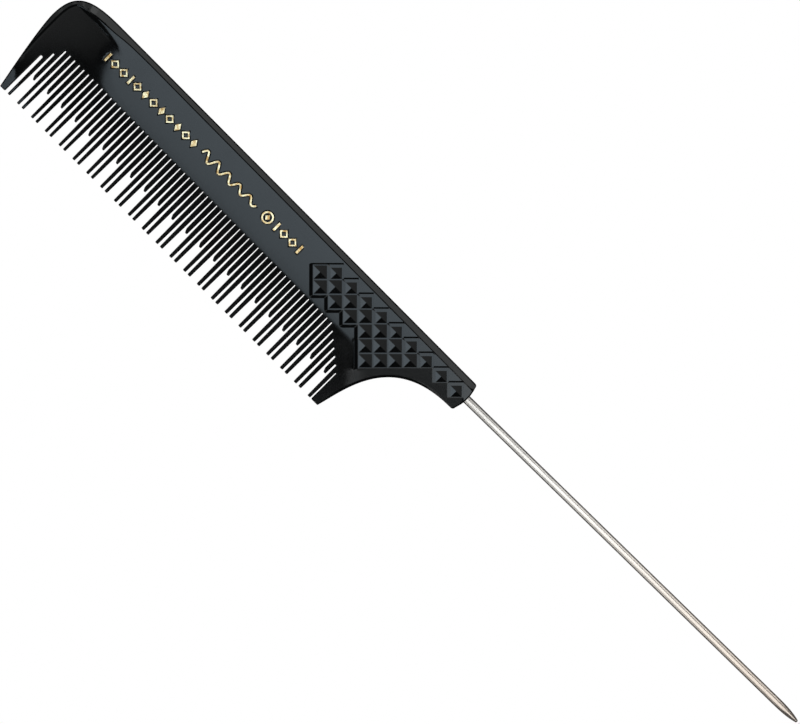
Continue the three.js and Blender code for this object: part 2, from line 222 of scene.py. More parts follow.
def back_edge():
    """From the foot of the head's guard up and along the back to the handle's end."""
    path = [(HEAD_GUARD_FOOT_X, FOOT_Y)] + head_edge()
    path += straight(path[-1], (HANDLE_END_X - 0.7, 0))
    return path


def rest_edge():
    """From the handle's lower corner round the finger rest to the foot of the end guard."""
    start = (HANDLE_END_X - 0.95, HANDLE_LOWER_Y)
    foot = (END_GUARD_FOOT_X, FOOT_Y)
    return [start] + bezier([start, (109.8, HANDLE_LOWER_Y), (108.4, -22.2), foot], 56)


def handle_end():
    end = HANDLE_END_X
    path = bezier([(end - 0.7, 0), (end, 0), (end + 0.07, -0.75)], 6)
    path += bezier([path[-1], (end + 1.13, -3.975), (end, -7.1)], 18)
    path += bezier([path[-1], (end, HANDLE_LOWER_Y), (end - 0.95, HANDLE_LOWER_Y)], 8)
    return path


def rounded(points, radius, steps=5):
    """An open path through points, with each inner corner rounded, short of each side's middle."""
    path = [points[0]]
    for before, corner, after in zip(points, points[1:], points[2:]):
        reach_in = min(radius, math.dist(before, corner) * 0.48)
        reach_out = min(radius, math.dist(corner, after) * 0.48)
        start = np.add(corner, np.subtract(before, corner) * (reach_in / math.dist(before, corner)))
        end = np.add(corner, np.subtract(after, corner) * (reach_out / math.dist(corner, after)))
        path += straight(path[-1], tuple(start))
        path += bezier([tuple(start), corner, tuple(end)], steps)
    path += straight(path[-1], points[-1])
    return path


def tooth_edge(tooth):
    """From the root on the tooth's right round its tip to the root on its left."""
    tip_y = SHORT_TOOTH_Y if tooth % 3 == 1 else FOOT_Y
    right = slot_walls(tooth + 1, tip_y)[0]
    left = slot_walls(tooth, tip_y)[1]
    start_y = slot_root_y(tooth + 1)
    end_y = slot_root_y(tooth)
    start = (slot_walls(tooth + 1, start_y)[0], start_y)
    end = (slot_walls(tooth, end_y)[1], end_y)
    if tooth % 3 == 1:
        slant_x, slant_y = SHORT_TIP_SLANT
        corners = [start, (right, tip_y), (left + slant_x, tip_y), (left, tip_y + slant_y), end]
    else:
        corners = [start, (right, tip_y), (left, tip_y), end]
    return rounded(corners, TIP_ROUNDING)


def slot_root(i):
    """The round end of slot i, from its right wall to its left one."""
    y = slot_root_y(i)
    left, right = slot_walls(i, y)
    radius = (right - left) / 2
    angles = np.linspace(0, math.pi, 9)[1:]
    return [((left + right) / 2 + radius * math.cos(a), y + radius * math.sin(a)) for a in angles]


def body_outline():
    """The closed outline, and the width of the rounded edge at each of its points."""
    path = back_edge() + handle_end()
    upper_count = len(path)
    path += rest_edge()[1:-1]
    rest_count = len(path) - upper_count
    guard_foot = [path[-1], (END_GUARD_FOOT_X, FOOT_Y), (END_GUARD_WALL_X, FOOT_Y)]
    root_y = slot_root_y(TOOTH_COUNT)
    path += rounded(guard_foot + [(END_GUARD_WALL_X, root_y)], GUARD_ROUNDING)[1:]
    for i in range(TOOTH_COUNT, -1, -1):
        path += slot_root(i)
        if i > 0:
            path += tooth_edge(i - 1)[1:]
    path += rounded([path[-1], (HEAD_GUARD_WALL_X, FOOT_Y), path[0]], GUARD_ROUNDING)[1:-1]
    widths = np.full(len(path), EDGE_WIDTH)
    widths[:upper_count] = BACK_EDGE_WIDTH
    along_rest = np.arange(rest_count)
    grown = ease(along_rest / REST_EDGE_GROWS_OVER)
    unshrunk = ease((rest_count - 1 - along_rest) / REST_EDGE_SHRINKS_OVER)
    narrow = np.linspace(BACK_EDGE_WIDTH, EDGE_WIDTH, rest_count)
    rest_widths = narrow + (REST_EDGE_WIDTH - narrow) * (grown * unshrunk)
    widths[upper_count:upper_count + rest_count] = rest_widths
    return np.array(path), widths


def inward_normals(path, closed):
    """The miter direction to the right of the path's travel, which is into the body."""
    if closed:
        before = path - np.roll(path, 1, axis=0)
        after = np.roll(path, -1, axis=0) - path
    else:
        steps = np.diff(path, axis=0)
        before = np.vstack([steps[:1], steps])
        after = np.vstack([steps, steps[-1:]])
    normals = []
    for step in (before, after):
        unit = step / np.linalg.norm(step, axis=1)[:, None]
        normals.append(np.column_stack([unit[:, 1], -unit[:, 0]]))
    cosine = np.sum(normals[0] * normals[1], axis=1)
    return (normals[0] + normals[1]) / np.maximum(1 + cosine, 0.7)[:, None]


def nearest_on(path, x, y):
    """Distance from each point to an open path, and where along the path's points it is nearest."""
    start = path[:-1]
    step = path[1:] - path[:-1]
    to_point = np.column_stack([x, y])[:, None, :] - start[None, :, :]
    share = np.clip(np.sum(to_point * step, axis=2) / np.sum(step * step, axis=1), 0, 1)
    gap = np.linalg.norm(to_point - share[:, :, None] * step, axis=2)
    best = np.argmin(gap, axis=1)
    rows = np.arange(len(x))
    return gap[rows, best], best + share[rows, best]


# ---------------------------------------------------------------- heights of the body's face

def soft_min(a, b, rounding):
    overlap = np.maximum(rounding - np.abs(a - b), 0) / rounding
    return np.minimum(a, b) - overlap ** 2 * rounding / 4


BACK_PATH = np.array(back_edge())


def rim_edge_heights():
    """Half thickness at each point of the back's outer edge."""
    steps = np.linalg.norm(np.diff(BACK_PATH, axis=0), axis=1)
    along = np.concatenate([[0], np.cumsum(steps)])
    places, heights = np.array(RIM_EDGE).T
    rough = np.interp(along, places, heights)
    return np.array([rough[np.abs(along - a) < RIM_EDGE_SMOOTHING].mean() for a in along])


RIM_EDGE_HEIGHTS = rim_edge_heights()


def rim_height(x, y):
    gap, position = nearest_on(BACK_PATH, x, y)
    edge = np.interp(position, np.arange(len(BACK_PATH)), RIM_EDGE_HEIGHTS)
    return edge + RIM_SLOPE * gap


def crease_rounding(x, y):
    """How softly the rim's band meets the face: more so down the head's side."""
    head_share = ease((CREASE_HEAD_ENDS_X - x) / CREASE_HEAD_FADE) * ease((1 - y) / 5)
    return CREASE_ROUNDING_AT_BACK + (CREASE_ROUNDING_AT_HEAD - CREASE_ROUNDING_AT_BACK) * head_share


def strip_mask(x, y):
    """0 on the flat strip beside the head's rim and 1 below the bank that ends it."""
    places, heights = np.array(STRIP_LINE).T
    return ease((np.interp(x, places, heights) - y) / STRIP_BANK_WIDTH)


def ground_drop(x, y):
    """How far the head and the blade are ground down towards the teeth's tips."""
    across = np.maximum(GROUND_CORNER[0] - x, 0)
    down = np.maximum(GROUND_CORNER[1] - y, 0)
    reach = np.hypot(across, down)
    gap = np.maximum(reach - GROUND_RADIUS, 0)
    head_share = across ** 2 / np.maximum(reach ** 2, 1e-9)
    slope = BLADE_SLOPE + (HEAD_SLOPE - BLADE_SLOPE) * head_share
    width = BLADE_EASE + (HEAD_EASE - BLADE_EASE) * head_share
    eased = np.where(gap < width, gap ** 2 / (2 * width), gap - width / 2)
    return slope * eased * strip_mask(x, y)


def ground_height(x, y):
    return HALF_THICKNESS - np.clip(ground_drop(x, y), 0, HALF_THICKNESS - THINNEST_HALF)


def bank_height(x, y):
    """The steep bank that rises from the ground blade beside the grip."""
    along, across = turned(x, y, (0, 0))
    below_grip = ease((across - BANK_ENDS_ACROSS + BANK_FADE) / BANK_FADE)
    return HALF_THICKNESS * (1 - below_grip) - BANK_SLOPE * np.maximum(BANK_ALONG - along, 0)


def plain_height(x, y):
    """The face without its rim and its grip."""
    return np.maximum(ground_height(x, y), bank_height(x, y))


def turned(x, y, centre):
    """Coordinates along the sides of a square that stands on its corner round a centre."""
    along = (x - centre[0] + y - centre[1]) / math.sqrt(2)
    across = (x - centre[0] - y + centre[1]) / math.sqrt(2)
    return along, across


def grip_cells():
    """Centre of each cell, with the centre and the half side of the pyramid in it."""
    cells = []
    for row, (first, last) in enumerate(GRIP_ROWS):
        row_x = GRIP_FIRST[0] - (row % 2) * GRIP_HALF_DIAGONAL
        for n in range(first, last + 1):
            x = row_x + 2 * GRIP_HALF_DIAGONAL * n
            y = GRIP_FIRST[1] - GRIP_HALF_DIAGONAL * row + GRIP_CLIMB * n
            if row == 0:
                cells.append(((x, y), (x + BACK_PYRAMID_SHIFT, y), BACK_PYRAMID_HALF_SIDE))
            else:
                cells.append(((x, y), (x, y), PYRAMID_HALF_SIDE))
    return cells


CELLS = grip_cells()
CELL_HALF_SIDE = GRIP_HALF_DIAGONAL / math.sqrt(2)


def wall_share(reach, side):
    """0 at the foot of the recess's wall on one side of a cell, and 1 at its top."""
    border, width = GRIP_WALLS[side]
    return (reach - CELL_HALF_SIDE - border + width) / width


def recess_share(x, y):
    """0 on the recess's floor, 1 at the top of its wall and more outside it, with round corners."""
    shares = []
    for centre, _, _ in CELLS:
        along, across = turned(x, y, centre)
        sideways = np.maximum(wall_share(along, "right"), wall_share(-along, "left"))
        endways = np.maximum(wall_share(across, "bottom"), wall_share(-across, "top"))
        shares.append(np.hypot(np.maximum(sideways, 0), np.maximum(endways, 0)))
    return np.min(shares, axis=0)


def step_edge(along):
    """Where the satin step begins, across from a place along the grip's turned coordinates."""
    edge = np.full(np.shape(along), 1e3)
    for centre, _, _ in CELLS:
        centre_along, centre_across = turned(*centre, (0, 0))
        beside = np.abs(along - centre_along) <= CELL_HALF_SIDE + 0.01
        edge = np.where(beside & (edge > 999), -1e3, edge)
        edge = np.where(beside, np.maximum(edge, centre_across + CELL_HALF_SIDE), edge)
    first_along, first_across = turned(*CELLS[-1][0], (0, 0))
    before = along < first_along - CELL_HALF_SIDE
    return np.where(before, first_across + CELL_HALF_SIDE, edge)


def step_share(x, y):
    """1 on the satin step, fading to 0 towards the end guard."""
    along, across = turned(x, y, (0, 0))
    started = ease((along - STEP_START) / STEP_FADE)
    below = across - step_edge(along)
    first_along, _ = turned(*CELLS[-1][0], (0, 0))
    soft = ease(below / STEP_EASE)
    return started * np.where(along < first_along - CELL_HALF_SIDE, soft, below > 1e-4)


def grip_height(x, y):
    """The recess with its wall, and the pyramids that rise from its floor."""
    floor = HALF_THICKNESS - GRIP_DEPTH
    height = floor + GRIP_DEPTH * np.clip(recess_share(x, y), 0, 1)
    for _, centre, half_side in CELLS:
        along, across = turned(x, y, centre)
        reach = np.maximum(np.abs(along), np.abs(across)) / half_side
        top = floor + PYRAMID_HEIGHT * (half_side / PYRAMID_HALF_SIDE) * (1 - reach)
        height = np.where(reach < 1, np.maximum(height, top), height)
    return height


def face_height(x, y):
    height = np.minimum(plain_height(x, y), HALF_THICKNESS - GRIP_DEPTH * step_share(x, y))
    height = soft_min(height, rim_height(x, y), crease_rounding(x, y))
    return np.minimum(height, grip_height(x, y))


def edge_radius(width):
    """Radius of the arc that rounds an edge over a given width."""
    return width / (1 - math.sin(EDGE_START))


def edge_drop(gap, width):
    """How far the rounded edge lies below the face, at a distance inside the outline."""
    radius = edge_radius(width)
    reach = radius - np.minimum(gap, width)
    return radius * math.cos(EDGE_START) - np.sqrt(radius ** 2 - reach ** 2)


# ---------------------------------------------------------------- triangulation of the body's face

class Plan:
    """Points and lines that the face's triangles run through. A sharp line keeps its crease."""

    def __init__(self):
        self.points = []
        self.edges = []
        self.sharp = []

    def line(self, points, closed=False, sharp=False):
        first = len(self.points)
        count = len(points)
        self.points += [Vector((float(p[0]), float(p[1]))) for p in points]
        for n in range(count if closed else count - 1):
            self.edges.append((first + n, first + (n + 1) % count))
            self.sharp.append(sharp)

    def dots(self, points):
        self.points += [Vector((float(p[0]), float(p[1]))) for p in points]


def inside_outline(outline, points):
    x, y = points.T
    x0, y0 = outline.T
    x1, y1 = np.roll(outline, -1, axis=0).T
    within = np.zeros(len(points), bool)
    for n in range(len(outline)):
        crosses = (y0[n] > y) != (y1[n] > y)
        if crosses.any():
            cut = x0[n] + (x1[n] - x0[n]) * (y - y0[n]) / ((y1[n] - y0[n]) or 1)
            within ^= crosses & (x < cut)
    return within


class OutlineGap:
    """Measures how far points lie from the outline, and the rounded edge's width beside them."""

    def __init__(self, outline, widths):
        self.outline = outline
        self.widths = widths
        self.tree = KDTree(len(outline))
        for n, (x, y) in enumerate(outline):
            self.tree.insert((x, y, 0), n)
        self.tree.balance()

    def segment_gap(self, point, start):
        a = self.outline[start % len(self.outline)]
        b = self.outline[(start + 1) % len(self.outline)]
        step = b - a
        share = np.clip(np.dot(point - a, step) / np.dot(step, step), 0, 1)
        return float(np.linalg.norm(point - a - step * share))

    def of(self, points):
        """Gap and edge width for each point. Beyond FAR_GAP the nearest outline point will do."""
        gaps = []
        nearest = []
        for point in points:
            _, n, far = self.tree.find((point[0], point[1], 0))
            if far > FAR_GAP:
                gaps.append(far)
            else:
                gaps.append(min(self.segment_gap(point, n), self.segment_gap(point, n - 1)))
            nearest.append(n)
        return np.array(gaps), self.widths[nearest]

    def clear_of_edge(self, points, margin):
        """Whether points lie inside the outline and its rounded edge."""
        gaps, widths = self.of(points)
        return inside_outline(self.outline, points) & (gaps > widths + margin)


def kept_runs(points, keep, least=2):
    """The stretches of a line whose points are kept."""
    runs = []
    run = []
    for point, kept in zip(points, keep):
        if kept:
            run.append(point)
        elif run:
            runs.append(run)
            run = []
    runs.append(run)
    return [r for r in runs if len(r) >= least]


def add_inner_line(plan, gap, points, sharp=False):
    """Adds the parts of an open line that lie inside the rounded edge."""
    points = np.array(points)
    for run in kept_runs(points, gap.clear_of_edge(points, 0.02)):
        plan.line(run, sharp=sharp)


def crease_offsets(path, band_height, plain):
    """Distance inside each point of a path at which a sloping band meets the plain face."""
    normals = inward_normals(path, closed=False)
    tries = np.linspace(0.02, 2.8, 180)
    offsets = np.full(len(path), np.nan)
    for n, (point, normal) in enumerate(zip(path, normals)):
        spots = point + normal * tries[:, None]
        over = band_height(spots[:, 0], spots[:, 1]) > plain(spots[:, 0], spots[:, 1])
        if over.any() and not over[0]:
            offsets[n] = tries[np.argmax(over)]
    return offsets, normals


def add_creases(plan, gap):
    offsets, normals = crease_offsets(BACK_PATH, rim_height, plain_height)
    found = ~np.isnan(offsets)
    middle = BACK_PATH + normals * np.nan_to_num(offsets)[:, None]
    reach = crease_rounding(middle[:, 0], middle[:, 1]) / RIM_SLOPE
    for share in np.linspace(-1.1, 1.1, 7):
        points = middle + normals * (share * reach)[:, None]
        for run in kept_runs(points, found & (offsets + share * reach > 0.05)):
            add_inner_line(plan, gap, run)


def outer_runs(ring, level):
    """The stretches of one cell's ring that no other cell's recess takes away, cut off exactly."""
    keep = recess_share(ring[:, 0], ring[:, 1]) > level - 1e-4
    points = []
    kept = []
    for n, point in enumerate(ring):
        if n and keep[n] != keep[n - 1]:
            inner, outer = (ring[n - 1], point) if keep[n] else (point, ring[n - 1])
            for _ in range(12):
                middle = (inner + outer) / 2
                if recess_share(*middle[:, None])[0] > level - 1e-4:
                    outer = middle
                else:
                    inner = middle
            points.append(outer)
            kept.append(True)
        points.append(point)
        kept.append(keep[n])
    return kept_runs(points, kept)


def add_grip(plan, gap):
    for centre, pyramid, half_side in CELLS:
        for level in WALL_LEVELS:
            for run in outer_runs(recess_ring(centre, level), level):
                add_inner_line(plan, gap, run, sharp=level in (WALL_LEVELS[0], WALL_LEVELS[-1]))
        reach = half_side * math.sqrt(2)
        turns = np.arange(4) * math.pi / 2
        corners = [(pyramid[0] + reach * math.cos(a), pyramid[1] + reach * math.sin(a)) for a in turns]
        plan.line(corners, closed=True, sharp=True)
        plan.line([corners[0], pyramid, corners[2]], sharp=True)
        plan.line([corners[1], pyramid, corners[3]], sharp=True)


def recess_ring(centre, level):
    """The closed line round one cell on which its wall has risen to a level from 0 to 1."""
    corners = [
        ("right", 1, "bottom", 1),
        ("bottom", 1, "left", -1),
        ("left", -1, "top", -1),
        ("top", -1, "right", 1),
    ]
    ring = []
    for first, first_sign, second, second_sign in corners:
        reach = {}
        for side, sign in ((first, first_sign), (second, second_sign)):
            border, width = GRIP_WALLS[side]
            reach[side] = (sign * (CELL_HALF_SIDE + border - width), sign * width * level)
        for turn in np.linspace(0, math.pi / 2, 5):
            start = reach[first][0] + reach[first][1] * math.cos(turn)
            end = reach[second][0] + reach[second][1] * math.sin(turn)
            along, across = (start, end) if first in ("right", "left") else (end, start)
            x = centre[0] + (along + across) / math.sqrt(2)
            y = centre[1] + (along - across) / math.sqrt(2)
            ring.append((x, y))
    spaced = [ring[0]]
    for point in ring[1:] + ring[:1]:
        spaced += straight(spaced[-1], point, 0.3)
    return np.array(spaced)


def foil_outlines(node):
    """The closed outlines of a foil mark's top face, in millimetres."""
    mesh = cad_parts[node].data
    top = max(v.co.z for v in mesh.vertices)

    def key(index):
        co = mesh.vertices[index].co
        return (round((co.x - HEAD_X) / MM, 3), round((co.y - BACK_Y) / MM, 3))

    edges = {}
    for face in mesh.polygons:
        if all(top - mesh.vertices[v].co.z < 0.01 * MM for v in face.vertices):
            ring = [key(v) for v in face.vertices]
            edges.update(dict.fromkeys(zip(ring, ring[1:] + ring[:1])))
    following = {a: b for a, b in edges if (b, a) not in edges}
    outlines = []
    while following:
        start, point = following.popitem()
        ring = [start]
        while point != start:
            ring.append(point)
            point = following.pop(point)
        outlines.append(np.array(ring))
    return outlines


def foil_rings(growth):
    """Every foil outline, grown outwards. The metal lies to the left of each outline's travel."""
    return [ring + inward_normals(ring, closed=True) * growth for ring in FOIL_RINGS]


FOIL_RINGS = [ring for node in FOIL_NODES for ring in foil_outlines(node)]


def in_rings(rings, points):
    """Whether each point is inside an odd number of the rings."""
    within = np.zeros(len(points), bool)
    for ring in rings:
        low = ring.min(axis=0) - 0.01
        high = ring.max(axis=0) + 0.01
        near = np.all((points > low) & (points < high), axis=1)
        if near.any():
            within[near] ^= inside_outline(ring, points[near])
    return within


def grid(x_range, y_range, spacing):
    """Points at the corners of even triangles over a rectangle."""
    columns = np.arange(*x_range, spacing)
    rows = np.arange(*y_range, spacing * math.sqrt(3) / 2)
    xs, ys = np.meshgrid(columns, rows)
    xs = xs + (np.arange(len(rows)) % 2)[:, None] * spacing / 2
    return np.column_stack([xs.ravel(), ys.ravel()])


def add_grids(plan, gap):
    areas = [
        grid((0.3, 26), (-29, -0.3), 0.55),
        grid((26, 130), (-13.2, -0.3), 1.7),
        grid((26, 95), (-17.5, -11.6), 0.6),
        grid((93, 112), (-29, -9.5), 0.5),
    ]
    for points in areas:
        points = points[gap.clear_of_edge(points, 0.12)]
        away_from_grip = recess_share(points[:, 0], points[:, 1]) > 1.1
        plan.dots(points[away_from_grip])


def strip_lines():
    """Lines along the bank that ends the head's flat strip, from its top to its foot."""
    for share in np.linspace(0, 1, 7):
        line = [STRIP_LINE[0]]
        for point in STRIP_LINE[1:]:
            line += straight(line[-1], point, 0.45)
        yield [(x, y - share * STRIP_BANK_WIDTH) for x, y in line]


def add_bank(plan, gap):
    """The bank's top, and the line at its foot where it meets the ground blade."""
    across = np.arange(BANK_STARTS_ACROSS, BANK_ENDS_ACROSS, 0.25)
    top = np.column_stack([BANK_ALONG + across, BANK_ALONG - across]) / math.sqrt(2)
    offsets, normals = crease_offsets(top, ground_height, bank_height)
    foot = top + normals * np.nan_to_num(offsets)[:, None]
    add_inner_line(plan, gap, top, sharp=True)
    for run in kept_runs(foot, offsets > 0.05):
        add_inner_line(plan, gap, run, sharp=True)


def face_plan(outline, gap):
    plan = Plan()
    plan.line(outline, closed=True)
    normals = inward_normals(outline, closed=True)
    for step in range(1, EDGE_STEPS + 1):
        turn = step / EDGE_STEPS * (math.pi / 2 - EDGE_START)
        offsets = edge_radius(gap.widths) * (1 - math.cos(turn))
        plan.line(outline + normals * offsets[:, None], closed=True, sharp=step == EDGE_STEPS)
    add_creases(plan, gap)
    add_grip(plan, gap)
    for growth in (IMPRESSION_TOP_GROWTH, IMPRESSION_FLOOR_GROWTH):
        for ring in foil_rings(growth):
            plan.line(ring, closed=True, sharp=True)
    for line in strip_lines():
        add_inner_line(plan, gap, line)
    add_bank(plan, gap)
    add_grids(plan, gap)
    return plan


# ---------------------------------------------------------------- meshes

def new_object(name, vertices, faces):
    mesh = bpy.data.meshes.new(name)
    mesh.from_pydata([tuple(v) for v in vertices], [], faces)
    mesh.validate()
    mesh.update()
    piece = bpy.data.objects.new(name, mesh)
    bpy.context.scene.collection.objects.link(piece)
    return piece


def triangles_inside(outline, points, triangles, point_origins):
    """Only the triangles within the outline. One with a corner off the outline is within it."""
    on_outline = np.array([any(o < len(outline) for o in origins) for origins in point_origins])
    triangles = np.array(triangles)
    centres = points[triangles].mean(axis=1)
    keep = ~on_outline[triangles].all(axis=1)
    keep[~keep] = inside_outline(outline, centres[~keep])
    return triangles[keep].tolist()


def mark_satin(mesh, shares, within_edge):
    """Stores how satin each face corner is. The rounded edge stays polished."""
    point_of = np.zeros(len(mesh.loops), dtype=np.int32)
    mesh.loops.foreach_get("vertex_index", point_of)
    point_of %= len(shares)
    first = np.zeros(len(mesh.polygons), dtype=np.int32)
    corners = np.zeros(len(mesh.polygons), dtype=np.int32)
    mesh.polygons.foreach_get("loop_start", first)
    mesh.polygons.foreach_get("loop_total", corners)
    flat_faces = np.logical_and.reduceat(within_edge[point_of], first)
    values = shares[point_of] * np.repeat(flat_faces, corners)
    satin = mesh.attributes.new("satin", "FLOAT", "CORNER")
    satin.data.foreach_set("value", values.astype(np.float32))


def comb_body():
    """Two height fields, mirrored in the middle of the thickness, with a wall along the outline."""
    outline, widths = body_outline()
    gap = OutlineGap(outline, widths)
    plan = face_plan(outline, gap)
    flat, edges, triangles, point_origins, edge_origins, _ = delaunay_2d_cdt(
        plan.points, plan.edges, [], 0, 1e-5, True)
    flat = np.array([tuple(p) for p in flat])
    triangles = triangles_inside(outline, flat, triangles, point_origins)
    height = face_height(flat[:, 0], flat[:, 1])
    edge_gaps, edge_widths = gap.of(flat)
    upper = height - edge_drop(edge_gaps, edge_widths)
    lower = -upper
    pressed = in_rings(foil_rings(IMPRESSION_FLOOR_GROWTH + 0.01), flat)
    upper = upper - np.where(pressed, IMPRESSION_DEPTH, 0)
    count = len(flat)
    vertices = [place(x, y, z) for (x, y), z in zip(flat, upper)]
    vertices += [place(x, y, z) for (x, y), z in zip(flat, lower)]
    top_faces = [tuple(t) for t in triangles]
    bottom_faces = [tuple(v + count for v in reversed(t)) for t in triangles]
    directed = {(t[n], t[(n + 1) % 3]) for t in top_faces for n in range(3)}
    border = [(a, b) for a, b in directed if (b, a) not in directed]
    walls = [(b, a, a + count, b + count) for a, b in sorted(border)]
    piece = new_object("comb_body_moulded", vertices, top_faces + bottom_faces + walls)
    sharp_pairs = set()
    for (a, b), origins in zip(edges, edge_origins):
        if any(plan.sharp[o] for o in origins):
            sharp_pairs.add((min(a, b), max(a, b)))
            sharp_pairs.add((min(a, b) + count, max(a, b) + count))
    for edge in piece.data.edges:
        a, b = edge.vertices
        edge.use_edge_sharp = (min(a, b), max(a, b)) in sharp_pairs
    mark_satin(piece.data, step_share(flat[:, 0], flat[:, 1]), edge_gaps > edge_widths - 0.01)
    piece.data.polygons.foreach_set("use_smooth", [True] * len(piece.data.polygons))
    weighted = piece.modifiers.new("weighted_normals", "WEIGHTED_NORMAL")
    weighted.keep_sharp = True
    return piece


def pin_profile():
    """Distance along the pin from the handle's end, and radius, from the hidden end to the tip."""
    tip_start = PIN_FREE_LENGTH - PIN_TIP_RADIUS
    taper_start = tip_start - PIN_TAPER_LENGTH
    profile = [(-PIN_HIDDEN_LENGTH, 0.0), (-PIN_HIDDEN_LENGTH, PIN_RADIUS)]
    for n in range(1, 50):
        along = -PIN_HIDDEN_LENGTH + (taper_start + PIN_HIDDEN_LENGTH) * n / 50
        unevenness = PIN_UNEVENNESS * math.sin(along * 0.9) * math.sin(along * 0.23)
        profile.append((along, PIN_RADIUS + unevenness))
    for n in range(25):
        share = n / 24
        radius = PIN_RADIUS - (PIN_RADIUS - PIN_TIP_RADIUS) * share ** 3
        profile.append((taper_start + PIN_TAPER_LENGTH * share, radius))
    for n in range(1, 9):
        turn = math.pi / 2 * n / 8
        radius = PIN_TIP_RADIUS * math.cos(turn) if n < 8 else 0.0
        profile.append((tip_start + PIN_TIP_RADIUS * math.sin(turn), radius))
    return profile


def pin_point(along, radius, turn):
    across = radius * math.cos(turn)
    x = PIN_EXIT[0] + along * math.cos(PIN_ANGLE) - across * math.sin(PIN_ANGLE)
    y = PIN_EXIT[1] + along * math.sin(PIN_ANGLE) + across * math.cos(PIN_ANGLE)
    return place(x, y, radius * math.sin(turn))


def tail_pin():
    """The pin's profile turned round its axis."""
    vertices = []
    faces = []
    rings = []
    for along, radius in pin_profile():
        if radius == 0:
            rings.append([len(vertices)] * PIN_SIDES)
            vertices.append(pin_point(along, 0, 0))
        else:
            rings.append(list(range(len(vertices), len(vertices) + PIN_SIDES)))
            turns = [2 * math.pi * n / PIN_SIDES for n in range(PIN_SIDES)]
            vertices += [pin_point(along, radius, turn) for turn in turns]
    for ring, following in zip(rings, rings[1:]):
        for n in range(PIN_SIDES):
            m = (n + 1) % PIN_SIDES
            corners = [ring[n], ring[m], following[m], following[n]]
            faces.append(tuple(dict.fromkeys(corners)))
    piece = new_object("tail_pin_wire", vertices, faces)
    piece.data.polygons.foreach_set("use_smooth", [True] * len(piece.data.polygons))
    piece.data.set_sharp_from_angle(angle=math.radians(50))
    return piece


# ---------------------------------------------------------------- materials

class Nodes:
    """Adds nodes to a material one by one and links them."""

    def __init__(self, name):
        self.material = bpy.data.materials.new(name)
        self.material.use_nodes = True
        self.tree = self.material.node_tree
        self.shader = self.tree.nodes["Principled BSDF"]

    def add(self, kind, inputs=None, **settings):
        node = self.tree.nodes.new(kind)
        for name, value in settings.items():
            setattr(node, name, value)
        for name, value in (inputs or {}).items():
            self.give(node, name, value)
        return node

    def give(self, node, name, value):
        if isinstance(value, bpy.types.NodeSocket):
            self.tree.links.new(value, node.inputs[name])
        else:
            node.inputs[name].default_value = value

    def set(self, **values):
        for name, value in values.items():
            self.give(self.shader, name.replace("_", " "), value)

    def position(self, scale=(1, 1, 1), rotation=(0, 0, 0)):
        coordinates = self.add("ShaderNodeTexCoord").outputs["Object"]
        inputs = {"Vector": coordinates, "Scale": scale, "Rotation": rotation}
        return self.add("ShaderNodeMapping", inputs).outputs["Vector"]

    def noise(self, vector, scale, detail=2.0, roughness=0.5):
        node = self.add("ShaderNodeTexNoise", {
            "Vector": vector, "Scale": scale, "Detail": detail, "Roughness": roughness})
        return node.outputs["Fac"]

    def fit(self, value, low, high, to_low, to_high):
        node = self.add("ShaderNodeMapRange", {
            "Value": value, "From Min": low, "From Max": high, "To Min": to_low, "To Max": to_high})
        return node.outputs["Result"]

    def blend(self, share, low, high):
        """Mixes two colours, each either fixed or another node's output."""
        node = self.add("ShaderNodeMix", data_type="RGBA")
        self.give(node, 0, share)
        for index, colour in ((6, low), (7, high)):
            self.give(node, index, (*colour, 1) if isinstance(colour, tuple) else colour)
        return node.outputs[2]

    def bump(self, height, strength, distance, before=None):
        inputs = {"Height": height, "Strength": strength, "Distance": distance}
        if before is not None:
            inputs["Normal"] = before
        return self.add("ShaderNodeBump", inputs).outputs["Normal"]


def hard_rubber():
    """Polished black hard rubber, with faint cloudiness, fine scratches and a fine grain in its bump."""
    nodes = Nodes("hard_rubber_polished")
    place_of = nodes.position()
    cloud = nodes.noise(place_of, 160, 4, 0.6)
    lengthways = nodes.position(scale=(60, 2600, 900), rotation=(0, 0, 0.12))
    scratched = nodes.noise(lengthways, 1.0, 3, 0.6)
    grain = nodes.noise(place_of, 5200, 2, 0.5)
    cloudy = nodes.fit(cloud, 0.35, 0.7, 0, 1)
    colour = nodes.blend(cloudy, (0.0020, 0.0022, 0.0024), (0.0038, 0.0042, 0.0044))
    polished = nodes.fit(cloud, 0.3, 0.75, 0.07, 0.115)
    satin = nodes.add("ShaderNodeAttribute", attribute_name="satin").outputs["Fac"]
    added = nodes.fit(satin, 0, 1, 0, 0.47)
    roughness = nodes.add("ShaderNodeMath", {0: polished, 1: added}, operation="ADD").outputs[0]
    normal = nodes.bump(scratched, 0.04, 0.00002)
    normal = nodes.bump(grain, 0.05, 0.00001, normal)
    shine = nodes.fit(satin, 0, 1, 0.5, 0.33)
    nodes.set(Base_Color=colour, Roughness=roughness, Specular_IOR_Level=shine, IOR=1.5, Normal=normal)
    return nodes.material


def steel_wire():
    """Drawn steel with a fine grain along the wire, and a faint warm tint towards its tip."""
    nodes = Nodes("steel_wire_drawn")
    grain = nodes.noise(nodes.position(scale=(25, 3600, 3600)), 1.0, 3, 0.6)
    cloud = nodes.noise(nodes.position(), 240, 3, 0.5)
    shade = nodes.fit(grain, 0.3, 0.7, 0, 1)
    bare = nodes.blend(shade, (0.68, 0.64, 0.61), (0.80, 0.76, 0.72))
    tinted = nodes.blend(shade, (0.66, 0.56, 0.49), (0.78, 0.675, 0.59))
    along = nodes.add("ShaderNodeSeparateXYZ", {"Vector": nodes.position()}).outputs["X"]
    colour = nodes.blend(nodes.fit(along, 0.04, 0.10, 0, 1), bare, tinted)
    roughness = nodes.fit(cloud, 0.3, 0.7, 0.17, 0.23)
    nodes.set(Base_Color=colour, Roughness=roughness, Metallic=0.85)
    return nodes.material


